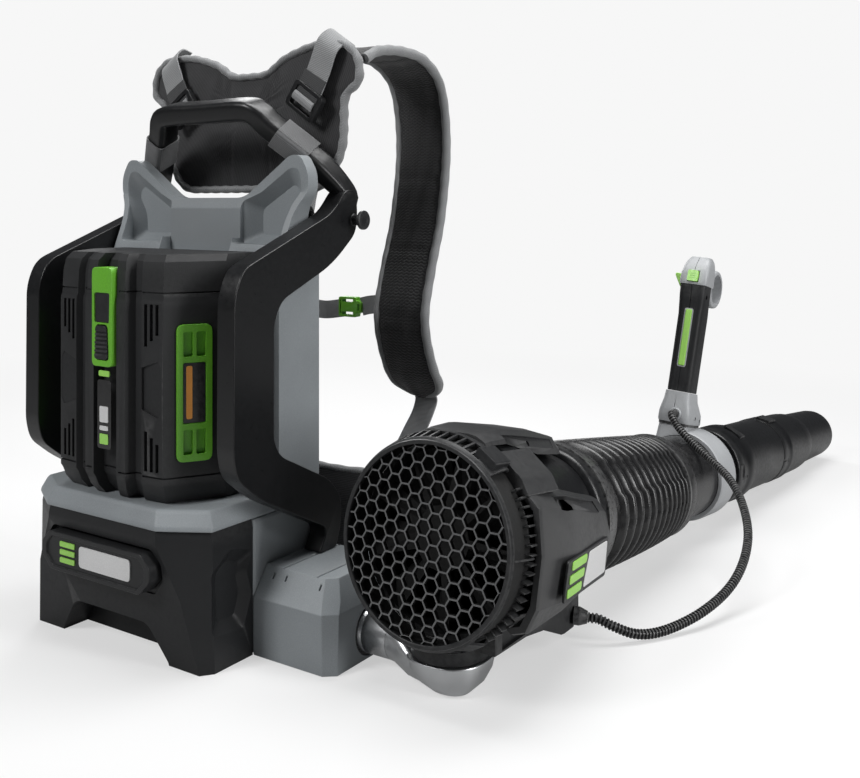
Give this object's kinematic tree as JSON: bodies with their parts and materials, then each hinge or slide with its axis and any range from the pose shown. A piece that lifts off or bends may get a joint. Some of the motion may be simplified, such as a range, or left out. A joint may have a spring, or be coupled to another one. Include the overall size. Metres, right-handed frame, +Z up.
{
  "type": "backpack leaf blower",
  "caption": "Battery backpack leaf blower with padded harness, guard frame, side swing arm, fan with grille, bellows, tapered tube and upright control handle.",
  "frame": {"origin": "middle of the base pan on the floor", "axes": "+X is the wearer's right, where the blower hangs; +Y is the way the wearer faces and the tube points; +Z up"},
  "size_m": [0.5922, 1.0821, 0.5505],
  "materials": {
    "black_plastic": "moulded, fine texture",
    "dark_plastic": "moulded, satin",
    "grey_plastic": "moulded, fine texture",
    "light_grey_plastic": "moulded, satin",
    "green_plastic": "smooth",
    "lime_plastic": "smooth",
    "cast_aluminium": "satin cast",
    "padded_fabric": "mesh cloth over foam",
    "webbing": "ribbed woven tape",
    "circuit_board": "laminate",
    "bellows_rubber": "smooth rubber",
    "cable_conduit": "ribbed",
    "motor_steel": "turned"
  },
  "bodies": {
    "frame": {"base_cover": "black_plastic", "base_badge": "dark_plastic", "base_housing": "grey_plastic", "battery_platform": "grey_plastic", "controller_board": "circuit_board", "battery_socket": "dark_plastic", "pivot_housing": "grey_plastic", "arm_bush": "dark_plastic", "main_shell": "grey_plastic", "back_plate": "black_plastic", "guard_right": "black_plastic", "guard_left": "black_plastic", "carry_handle": "black_plastic", "storage_peg": "dark_plastic", "harness_yoke": "padded_fabric", "back_pad": "padded_fabric", "shoulder_strap_right": "padded_fabric", "shoulder_strap_left": "padded_fabric", "lower_webbing_right": "webbing", "lower_webbing_left": "webbing", "load_lifter_buckle_right": "dark_plastic", "load_lifter_buckle_left": "dark_plastic", "chest_webbing_right": "webbing", "chest_webbing_left": "webbing", "chest_buckle": "green_plastic", "waist_belt": "padded_fabric"},
    "battery": {"battery_case": "black_plastic", "battery_vent_right": "green_plastic", "battery_vent_left": "green_plastic", "battery_latch": "green_plastic"},
    "latch_button": {"latch_button": "dark_plastic"},
    "arm": {"arm_tube": "cast_aluminium", "arm_cup": "cast_aluminium"},
    "blower": {"swivel_post": "black_plastic", "mount_bracket": "black_plastic", "inlet_grille": "black_plastic", "inlet_ring": "black_plastic", "fan_housing": "black_plastic", "motor": "motor_steel", "stator_vanes": "black_plastic", "top_cover": "dark_plastic", "side_cover": "dark_plastic", "cable_gland": "black_plastic", "bellows": "bellows_rubber", "control_cable": "cable_conduit"},
    "rotor": {"fan_rotor": "dark_plastic", "motor_shaft": "motor_steel"},
    "tube": {"bellows_collar": "black_plastic", "control_tube": "black_plastic", "handle_clamp": "light_grey_plastic", "handle_bracket": "light_grey_plastic", "grip": "black_plastic", "grip_insert": "lime_plastic", "handle_head": "light_grey_plastic"},
    "trigger": {"trigger": "lime_plastic"},
    "cruise_lever": {"cruise_lever": "lime_plastic"},
    "boost_button": {"boost_button": "lime_plastic"},
    "nozzle": {"nozzle_tube": "black_plastic"},
    "tip": {"nozzle_tip": "black_plastic"}
  },
  "joints": [
    {"name": "arm_pitch", "type": "hinge", "parent": "frame", "child": "arm", "pos_m": [0.18, 0.0215, 0.024], "axis": [1, 0, 0], "range_deg": [-40, 30]},
    {"name": "blower_swivel", "type": "hinge", "parent": "arm", "child": "blower", "pos_m": [0.281, 0.0215, 0.02], "axis": [0, 0, 1], "range_deg": [-25, 15]},
    {"name": "rotor_spin", "type": "hinge", "parent": "blower", "child": "rotor", "pos_m": [0.28562, 0.01666, 0.11985], "axis": [0.0156, 0.9915, -0.1288], "continuous": true},
    {"name": "tube_swing", "type": "hinge", "parent": "blower", "child": "tube", "pos_m": [0.29053, 0.329, 0.07928], "axis": [0, 0, 1], "range_deg": [-15, 15], "deforming": ["bellows", "control_cable"]},
    {"name": "nozzle_twist", "type": "hinge", "parent": "tube", "child": "nozzle", "pos_m": [0.31141, 0.62761, 0.0594], "axis": [0.0696, 0.9954, -0.0663], "range_deg": [0, 30]},
    {"name": "tip_pull", "type": "slide", "parent": "nozzle", "child": "tip", "axis": [0.0696, 0.9954, -0.0663], "range_m": [0, 0.09]},
    {"name": "trigger_pull", "type": "hinge", "parent": "tube", "child": "trigger", "pos_m": [0.29986, 0.54966, 0.24327], "axis": [-0.997, 0, 0.0774], "range_deg": [0, 9], "stiffness_Nm_per_rad": 0.5, "springref_deg": -8.59},
    {"name": "cruise_turn", "type": "hinge", "parent": "tube", "child": "cruise_lever", "pos_m": [0.28632, 0.53953, 0.28849], "axis": [0.997, 0, -0.0774], "range_deg": [0, 40]},
    {"name": "boost_press", "type": "slide", "parent": "tube", "child": "boost_button", "axis": [-0.0234, 0.953, -0.3021], "range_m": [0, 0.002], "stiffness_N_per_m": 300, "springref_m": -0.003},
    {"name": "battery_lift", "type": "slide", "parent": "frame", "child": "battery", "axis": [0, 0, 1], "range_m": [0, 0.25]},
    {"name": "latch_press", "type": "slide", "parent": "battery", "child": "latch_button", "axis": [0, 1, 0], "range_m": [0, 0.003], "stiffness_N_per_m": 400, "springref_m": -0.003}
  ]
}
